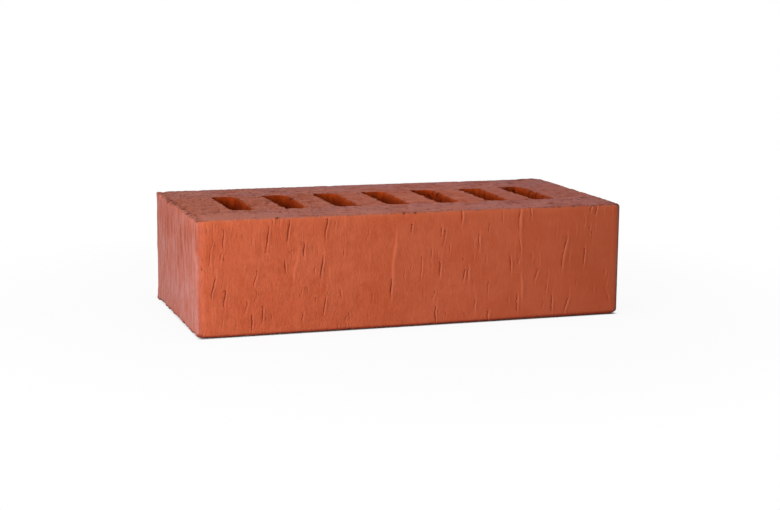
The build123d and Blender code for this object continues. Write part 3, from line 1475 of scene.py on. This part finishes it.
class NodeBench:
    """Short ways to place and join nodes in one tree."""

    def __init__(self, tree: bpy.types.NodeTree) -> None:
        """Works on the given tree."""
        self.tree = tree

    @classmethod
    def cleared(cls, owner: bpy.types.Material | bpy.types.World) -> "NodeBench":
        """Empties the node tree of a material or a world.

        Args:
            owner: The material or world.

        Returns:
            A bench on its tree.
        """
        owner.use_nodes = True
        owner.node_tree.nodes.clear()
        return cls(owner.node_tree)

    def node(self, kind: str, **settings: object) -> bpy.types.Node:
        """Places a node.

        Args:
            kind: The node's type.
            settings: Properties to set on it.

        Returns:
            The node.
        """
        node = self.tree.nodes.new(kind)
        for name, value in settings.items():
            setattr(node, name, value)
        return node

    def join(self, source: Socket, target: Socket) -> None:
        """Links two sockets."""
        self.tree.links.new(source, target)

    def feed(self, target: Socket, value: Value) -> None:
        """Links a socket to another one, or sets a plain value on it.

        Args:
            target: The socket to feed.
            value: Another socket, or a number, vector or colour.
        """
        if isinstance(value, Socket):
            self.join(value, target)
        else:
            target.default_value = (*value, 1.0) if target.type == "RGBA" else value

    def maths(self, operation: str, *values: Value) -> Socket:
        """Places a Math node.

        Args:
            operation: What it does.
            values: What its inputs get, in their order.

        Returns:
            Its result.
        """
        node = self.node("ShaderNodeMath", operation=operation)
        for socket, value in zip(node.inputs, values):
            self.feed(socket, value)
        return node.outputs[0]

    def product(self, first: Value, *others: Value) -> Socket:
        """Multiplies values.

        Args:
            first: The first value.
            others: The values that it is multiplied by in turn.

        Returns:
            The product.
        """
        for other in others:
            first = self.maths("MULTIPLY", first, other)
        return first

    def mix(self, share: Value, first: Value, second: Value) -> Socket:
        """Mixes two colours.

        Args:
            share: How much of the second colour shows.
            first: The colour at 0.
            second: The colour at 1.

        Returns:
            The mixed colour.
        """
        node = self.node("ShaderNodeMix", data_type="RGBA")
        for number, value in ((0, share), (6, first), (7, second)):
            self.feed(node.inputs[number], value)
        return node.outputs[2]

    def ramp(self, value: Value, low: float, high: float, start: float = 0.0,
             end: float = 1.0) -> Socket:
        """Maps low..high smoothly to start..end, and holds what lies beyond.

        Args:
            value: The value to map.
            low: The value that gives start.
            high: The value that gives end.
            start: The result at low.
            end: The result at high.

        Returns:
            The mapped value.
        """
        node = self.node("ShaderNodeMapRange", interpolation_type="SMOOTHSTEP")
        for name, item in (("Value", value), ("From Min", low), ("From Max", high),
                           ("To Min", start), ("To Max", end)):
            self.feed(node.inputs[name], item)
        return node.outputs["Result"]

    def noise(self, place: Value, scale: float, detail: float = 3.0,
              rough: float = 0.55) -> Socket:
        """Places a noise texture.

        Args:
            place: Where it is read.
            scale: Its features per unit of place.
            detail: How many finer layers it has.
            rough: How strong the finer layers are.

        Returns:
            Its value, about 0.5 on average.
        """
        node = self.node("ShaderNodeTexNoise")
        for name, item in (("Vector", place), ("Scale", scale), ("Detail", detail),
                           ("Roughness", rough)):
            self.feed(node.inputs[name], item)
        return node.outputs["Fac"]

    def vector(self, operation: str, *values: Value) -> Socket:
        """Places a Vector Math node that gives a vector.

        Args:
            operation: What it does.
            values: What its inputs get, in their order.

        Returns:
            Its result.
        """
        node = self.node("ShaderNodeVectorMath", operation=operation)
        for socket, value in zip(node.inputs, values):
            self.feed(socket, value)
        return node.outputs["Vector"]

    def layer(self, name: str) -> Socket:
        """One of the layers that the mesh keeps at its points."""
        return self.node("ShaderNodeAttribute", attribute_name=name).outputs["Fac"]

    def group(self, tree: bpy.types.NodeTree, **values: Value) -> bpy.types.NodeOutputs:
        """Places a node group.

        Args:
            tree: The group.
            values: What its inputs get, by their names.

        Returns:
            Its outputs.
        """
        node = self.node("ShaderNodeGroup", node_tree=tree)
        for label, value in values.items():
            self.feed(node.inputs[label], value)
        return node.outputs


class GroupMaker:
    """Makes a shader node group with named inputs and outputs."""

    SOCKETS = {"colour": "NodeSocketColor", "value": "NodeSocketFloat",
               "vector": "NodeSocketVector"}

    def __init__(self, name: str, inputs: dict[str, str], outputs: dict[str, str]) -> None:
        """Makes the empty group.

        Args:
            name: The group's name.
            inputs: Name and kind of each input.
            outputs: Name and kind of each output.
        """
        self.tree = bpy.data.node_groups.new(name, "ShaderNodeTree")
        for way, sockets in (("INPUT", inputs), ("OUTPUT", outputs)):
            for label, kind in sockets.items():
                self.tree.interface.new_socket(
                    name=label, in_out=way, socket_type=self.SOCKETS[kind]
                )
        self.bench = NodeBench(self.tree)
        self.given = self.bench.node("NodeGroupInput").outputs
        self.result = self.bench.node("NodeGroupOutput").inputs

    def put(self, **values: Socket) -> bpy.types.NodeTree:
        """Joins the group's outputs.

        Args:
            values: What each output gives, by its name.

        Returns:
            The finished group.
        """
        for label, socket in values.items():
            self.bench.join(socket, self.result[label])
        return self.tree


class ClayEffects:
    """The effects that every clay surface shares, each built once.

    Scales are in features per metre, and the sizes of cracks in millimetres.
    """

    CLOUDS = 34.0
    MOTTLES = 150.0
    SPECKS = 1400.0
    DRAG_WARP = 30.0
    DRAG_BEND = 0.004  # metres
    BROAD_DRAG = 0.22  # times the scale of the fine drag lines
    SAND = 1900.0
    LUMPS = 520.0
    PORES = 330.0
    PORE_PATCHES = 210.0
    CRUMBS = 640.0
    CRACK_FRAY = 600.0
    FRAY = 0.12
    HAIR_CRACK = 0.04
    OPEN_CRACK = 0.36  # added to the hair crack's width where a crack is strongest
    LIP_PLACE = 0.85
    LIP_WIDTH = 0.8
    BLOOM_BANDS = (90.0, 140.0, 16.0)
    BARE_PATCHES = 160.0

    def __init__(self) -> None:
        """Builds all groups."""
        self.body = self._body()
        self.streaks = self._streaks()
        self.grit = self._grit()
        self.cracks = self._cracks()
        self.relief = self._relief()

    def _body(self) -> bpy.types.NodeTree:
        """Builds the fired colour: broad clouds, small mottles and dark iron specks.

        Returns:
            The group.
        """
        maker = GroupMaker(
            "fired_body",
            {"Place": "vector", "Mottle": "value", "Grain": "value", "Base": "colour",
             "Pale": "colour", "Deep": "colour"},
            {"Colour": "colour"},
        )
        bench, given = maker.bench, maker.given
        place = given["Place"]
        cloud = bench.ramp(bench.noise(place, self.CLOUDS, 4.0, 0.6), 0.36, 0.62)
        mottle = bench.ramp(bench.noise(place, self.MOTTLES, 4.0, 0.65), 0.4, 0.66)
        speck = bench.ramp(bench.noise(place, self.SPECKS, 1.0, 0.5), 0.68, 0.78)
        colour = bench.mix(bench.product(cloud, 0.7), given["Base"], given["Pale"])
        for mask, mean, strength in ((mottle, 0.37, 1.0), (speck, 0.03, 0.3)):
            contrast = bench.maths("SUBTRACT", mask, mean)
            share = bench.maths("MULTIPLY_ADD", contrast, given["Grain"], mean)
            share = bench.product(share, strength, given["Mottle"])
            colour = bench.mix(share, colour, given["Deep"])
        return maker.put(Colour=colour)

    def _streaks(self) -> bpy.types.NodeTree:
        """Builds fine drag lines, drawn out along the axis with the smallest scale.

        Returns:
            The group.
        """
        maker = GroupMaker(
            "drag_streaks",
            {"Place": "vector", "Stretch": "vector"},
            {"Height": "value", "Mask": "value"},
        )
        bench, given = maker.bench, maker.given
        warp = bench.noise(given["Place"], self.DRAG_WARP, 2.0)
        bent = bench.vector("MULTIPLY_ADD", warp, (self.DRAG_BEND,) * 3, given["Place"])
        drawn = bench.vector("MULTIPLY", bent, given["Stretch"])
        fine = bench.noise(drawn, 1.0, 3.0, 0.6)
        broad = bench.noise(drawn, self.BROAD_DRAG, 2.0, 0.5)
        height = bench.maths("ADD", fine, broad)
        return maker.put(Height=height, Mask=bench.ramp(height, 0.82, 1.2))

    def _grit(self) -> bpy.types.NodeTree:
        """Builds a sandy grain with open pores and stuck crumbs.

        Returns:
            The group.
        """
        maker = GroupMaker(
            "sandy_grit",
            {"Place": "vector", "Coarse": "value"},
            {"Height": "value", "Pores": "value", "Crumbs": "value"},
        )
        bench, given = maker.bench, maker.given
        place = given["Place"]
        sand = bench.noise(place, self.SAND, 3.0, 0.7)
        lumps = bench.noise(place, self.LUMPS, 2.0, 0.5)
        cells = bench.node("ShaderNodeTexVoronoi", feature="F1")
        bench.feed(cells.inputs["Vector"], place)
        bench.feed(cells.inputs["Scale"], self.PORES)
        hole = bench.ramp(cells.outputs["Distance"], 0.12, 0.28, 1.0, 0.0)
        rare = bench.ramp(bench.noise(place, self.PORE_PATCHES, 1.0), 0.47, 0.58)
        pores = bench.product(hole, rare)
        crumbs = bench.ramp(bench.noise(place, self.CRUMBS, 2.0, 0.5), 0.56, 0.68)
        coarse = bench.maths("SUBTRACT", crumbs, pores)
        fine = bench.maths("ADD", sand, lumps)
        height = bench.maths("MULTIPLY_ADD", coarse, given["Coarse"], fine)
        return maker.put(Height=height, Pores=pores, Crumbs=crumbs)

    def _cracks(self) -> bpy.types.NodeTree:
        """Builds thin cracks in the skin with a raised lip, finer than the mesh, drawn as lines of
        painted shade.

        The mesh keeps the distance from the nearest crack and the crack's strength.

        Returns:
            The group.
        """
        maker = GroupMaker("skin_cracks", {"Place": "vector"}, {"Line": "value", "Height": "value"})
        bench = maker.bench
        fray = bench.noise(maker.given["Place"], self.CRACK_FRAY, 2.0)
        fray = bench.ramp(fray, 0.3, 0.7, -self.FRAY, self.FRAY)
        side = bench.maths("ADD", bench.layer("side"), fray)
        split = bench.layer("split")
        width = bench.maths("MULTIPLY_ADD", split, self.OPEN_CRACK, self.HAIR_CRACK)
        share = bench.maths("DIVIDE", bench.maths("ABSOLUTE", side), width)
        line = bench.product(bench.ramp(share, 0.35, 1.0, 1.0, 0.0), bench.ramp(split, 0.02, 0.14))
        crest = bench.maths("ABSOLUTE", bench.maths("SUBTRACT", side, self.LIP_PLACE))
        lip = bench.product(bench.ramp(crest, 0.0, self.LIP_WIDTH, 1.0, 0.0), split, 0.5)
        return maker.put(Line=line, Height=bench.maths("SUBTRACT", lip, line))

    def _relief(self) -> bpy.types.NodeTree:
        """Lays bloom with painted sheen, worn clay with a painted highlight, painted highlights on
        lips and pale crumbs, and painted shade in creases, cracks and pores over the body, by the
        mesh's masks.

        Returns:
            The group.
        """
        maker = GroupMaker(
            "relief_tint",
            {"Place": "vector", "Streaks": "value", "Pores": "value", "Crumbs": "value",
             "Line": "value", "Colour": "colour", "Bloom": "colour", "Bare": "colour",
             "Hollow": "colour", "Proud": "colour"},
            {"Colour": "colour"},
        )
        bench, given = maker.bench, maker.given
        bands = bench.vector("MULTIPLY", given["Place"], self.BLOOM_BANDS)
        bands = bench.ramp(bench.noise(bands, 1.0, 3.0, 0.6), 0.26, 0.66, 0.45, 1.0)
        patches = bench.noise(given["Place"], self.BARE_PATCHES, 2.0)
        patches = bench.ramp(patches, 0.3, 0.6, 0.5, 1.0)
        cover = bench.product(bench.maths("ADD", bands, given["Streaks"]), 0.55, bench.layer("bloom"))
        lips = bench.maths("MAXIMUM", bench.product(bench.layer("proud"), 0.5), given["Crumbs"])
        creases = bench.product(bench.ramp(bench.layer("hollow"), 0.05, 0.9), 0.9)
        colour = given["Colour"]
        for share, name in (
            (cover, "Bloom"),
            (bench.product(bench.layer("bare"), patches), "Bare"),
            (lips, "Proud"),
            (creases, "Hollow"),
            (bench.product(given["Line"], 0.9), "Hollow"),
            (given["Pores"], "Hollow"),
        ):
            colour = bench.mix(share, colour, given[name])
        return maker.put(Colour=colour)


class ClayPainter:
    """Makes the material of each finish from the shared effects."""

    BUMP_REACH = 0.00035  # metres
    GRAIN_REACH = 1.6  # strength of the fine grain where the mesh's mask is full
    ROUGH_SPREAD = (-0.06, 0.04)  # from hollows to crests of the grit

    def __init__(self) -> None:
        """Builds the shared effects."""
        self.effects = ClayEffects()

    def material(self, finish: ClayFinish) -> bpy.types.Material:
        """Makes the material of one finish.

        Args:
            finish: The finish to make.

        Returns:
            A node material.
        """
        made = bpy.data.materials.new(finish.name)
        bench = NodeBench.cleared(made)
        place = bench.node("ShaderNodeTexCoord").outputs["Object"]
        grain = bench.product(bench.layer("grain"), self.GRAIN_REACH)
        effects = self.effects
        body = bench.group(effects.body, Place=place, Mottle=finish.mottle, Grain=grain,
                           Base=finish.base, Pale=finish.pale, Deep=finish.deep)
        streaks = bench.group(effects.streaks, Place=place, Stretch=finish.streak_scale)
        grit = bench.group(effects.grit, Place=place, Coarse=finish.coarse)
        cracks = bench.group(effects.cracks, Place=place)
        share = bench.product(streaks["Mask"], grain, finish.streak_colour)
        tinted = bench.group(
            effects.relief, Place=place, Streaks=streaks["Mask"], Line=cracks["Line"],
            Pores=bench.product(grit["Pores"], finish.pores),
            Crumbs=bench.product(grit["Crumbs"], grain, finish.crumbs),
            Colour=bench.mix(share, body["Colour"], finish.pale),
            Bloom=finish.bloom, Bare=finish.bare, Hollow=finish.hollow, Proud=finish.proud,
        )
        height = bench.product(streaks["Height"], finish.streak_height)
        height = bench.maths("ADD", height, bench.product(grit["Height"], finish.grit_height))
        height = bench.maths("ADD", bench.product(height, grain), cracks["Height"])
        bump = bench.node("ShaderNodeBump")
        bench.feed(bump.inputs["Distance"], self.BUMP_REACH)
        bench.join(height, bump.inputs["Height"])
        rough = [finish.rough + change for change in self.ROUGH_SPREAD]
        shader = bench.node("ShaderNodeBsdfPrincipled")
        bench.feed(shader.inputs["Specular IOR Level"], finish.specular)
        bench.join(tinted["Colour"], shader.inputs["Base Color"])
        bench.join(bench.ramp(grit["Height"], 0.4, 1.4, *rough), shader.inputs["Roughness"])
        bench.join(bump.outputs["Normal"], shader.inputs["Normal"])
        bench.join(shader.outputs[0], bench.node("ShaderNodeOutputMaterial").inputs[0])
        return made

    def paint(self, piece: bpy.types.Object) -> None:
        """Gives a piece the material of every surface, in the order of its slots."""
        for surface in Surface:
            piece.data.materials.append(self.material(FINISHES[surface]))


# Studio

class Lamp(Enum):
    """The studio's soft lamps: place and side in metres, power in watts, colour."""

    KEY = ((-0.5, -0.48, 0.2), 0.3, 3.75, (1.0, 0.985, 0.96))
    TOP = ((-0.05, -0.05, 0.8), 0.5, 3.0, (0.98, 0.98, 1.0))


@dataclass
class Studio:
    """A pale floor, soft lamps and a camera at the photograph's angle."""

    azimuth: float = -18.38  # degrees, negative to the left of the facing side
    elevation: float = 9.98
    roll: float = 0.54
    distance: float = 995.8  # millimetres, from the foot of the brick's middle
    aside: float = 3.62
    above: float = 29.99
    focal_pixels: float = 1679.0
    picture_width: float = 780.0  # pixels
    sensor: float = 36.0  # millimetres
    clip: Pair = (0.01, 50.0)  # metres
    aim: tuple[float, float, float] = (0.0, 0.0, 0.03)  # where the lamps point, in metres
    world_light: float = 0.22
    floor_side: float = 8.0  # metres
    floor_white: float = 0.7
    glow: Pair = (0.93, 1.0)  # how bright the floor shows, near the brick and far from it
    glow_reach: Pair = (0.13, 0.34)  # metres from the brick's middle
    foot: Pair = (0.97, 1.0)  # where the shade under the brick ends, in shares of its half

    def camera(self) -> None:
        """Makes the camera and aims it as the photograph was taken."""
        azimuth, elevation, roll = map(math.radians, (self.azimuth, self.elevation, self.roll))
        back = Vector((
            math.sin(azimuth) * math.cos(elevation),
            -math.cos(azimuth) * math.cos(elevation),
            math.sin(elevation),
        ))
        level = Vector((math.cos(azimuth), math.sin(azimuth), 0.0))
        upright = back.cross(level)
        right = math.cos(roll) * level + math.sin(roll) * upright
        up = math.cos(roll) * upright - math.sin(roll) * level
        lens = bpy.data.cameras.new("photo_camera")
        lens.sensor_width = self.sensor
        lens.lens = self.focal_pixels * self.sensor / self.picture_width
        lens.clip_start, lens.clip_end = self.clip
        camera = place_object("photo_camera", lens)
        turn = Matrix((right, up, back)).transposed().to_4x4()
        place = (right * self.aside + up * self.above + back * self.distance) * MM
        camera.matrix_world = Matrix.Translation(place) @ turn
        bpy.context.scene.camera = camera

    def lamps(self) -> None:
        """Hangs the soft lamps, all aimed at the brick."""
        for lamp in Lamp:
            place, side, power, colour = lamp.value
            light = bpy.data.lights.new(lamp.name.lower(), "AREA")
            light.shape = "SQUARE"
            light.size = side
            light.energy = power
            light.color = colour
            hung = place_object(light.name, light)
            hung.location = place
            sight = Vector(self.aim) - Vector(place)
            hung.rotation_euler = sight.to_track_quat("-Z", "Y").to_euler()

    def world(self) -> None:
        """Surrounds the brick with even light that shows white behind it."""
        world = bpy.data.worlds.new("studio")
        bench = NodeBench.cleared(world)
        rays = bench.node("ShaderNodeLightPath").outputs
        shown = bench.maths("ADD", rays["Is Camera Ray"], rays["Is Glossy Ray"])
        shown = bench.maths("MINIMUM", bench.maths("ADD", shown, rays["Is Transmission Ray"]), 1.0)
        light = bench.node("ShaderNodeBackground")
        bench.feed(light.inputs["Color"], (1.0, 1.0, 1.0))
        bench.join(bench.ramp(shown, 0.0, 1.0, self.world_light, 1.0), light.inputs["Strength"])
        bench.join(light.outputs[0], bench.node("ShaderNodeOutputWorld").inputs[0])
        bpy.context.scene.world = world

    def floor(self) -> None:
        """Lays the pale floor, which keeps the brick's soft shadow."""
        half = self.floor_side / 2.0
        mesh = bpy.data.meshes.new("floor")
        corners = [(-half, -half, 0.0), (half, -half, 0.0), (half, half, 0.0), (-half, half, 0.0)]
        mesh.from_pydata(corners, [], [(0, 1, 2, 3)])
        mesh.materials.append(self.floor_paint())
        place_object("floor", mesh)

    def floor_paint(self) -> bpy.types.Material:
        """Makes matt white paint that the camera sees glow, but for the brick's shade.

        Returns:
            A node material.
        """
        made = bpy.data.materials.new("white_floor")
        bench = NodeBench.cleared(made)
        place = bench.node("ShaderNodeTexCoord").outputs["Object"]
        away = bench.node("ShaderNodeVectorMath", operation="LENGTH")
        bench.join(place, away.inputs[0])
        parts = bench.node("ShaderNodeSeparateXYZ")
        bench.join(place, parts.inputs[0])
        reach = [
            bench.maths("DIVIDE", bench.maths("ABSOLUTE", parts.outputs[axis]), float(size))
            for axis, size in enumerate(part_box("brick")[1][:2])
        ]
        far = bench.ramp(away.outputs["Value"], *self.glow_reach, *self.glow)
        outside = bench.ramp(bench.maths("MAXIMUM", *reach), *self.foot)
        seen = bench.node("ShaderNodeLightPath").outputs["Is Camera Ray"]
        matt = bench.node("ShaderNodeBsdfDiffuse")
        bench.feed(matt.inputs["Color"], (self.floor_white,) * 3)
        mixer = bench.node("ShaderNodeMixShader")
        bench.join(bench.product(far, outside, seen), mixer.inputs[0])
        bench.join(matt.outputs[0], mixer.inputs[1])
        bench.join(bench.node("ShaderNodeEmission").outputs[0], mixer.inputs[2])
        bench.join(mixer.outputs[0], bench.node("ShaderNodeOutputMaterial").inputs[0])
        return made

    def set_up(self) -> None:
        """Sets up the whole studio with plain colour management."""
        bpy.context.scene.view_settings.view_transform = "Standard"
        self.camera()
        self.lamps()
        self.world()
        self.floor()


def main() -> None:
    """Builds the brick and its studio, and reports the piece."""
    logging.basicConfig(level=logging.INFO, format="%(name)s: %(message)s")
    size = BrickFormat.from_frame()
    brick = BrickBody(size).build()
    ClayPainter().paint(brick)
    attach(brick, "root")
    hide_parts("brick")
    triangles = sum(len(face.vertices) - 2 for face in brick.data.polygons)
    LOG.info("%s: %d vertices, %d triangles", brick.name, len(brick.data.vertices), triangles)
    Studio().set_up()


if __name__ == "__main__":
    main()
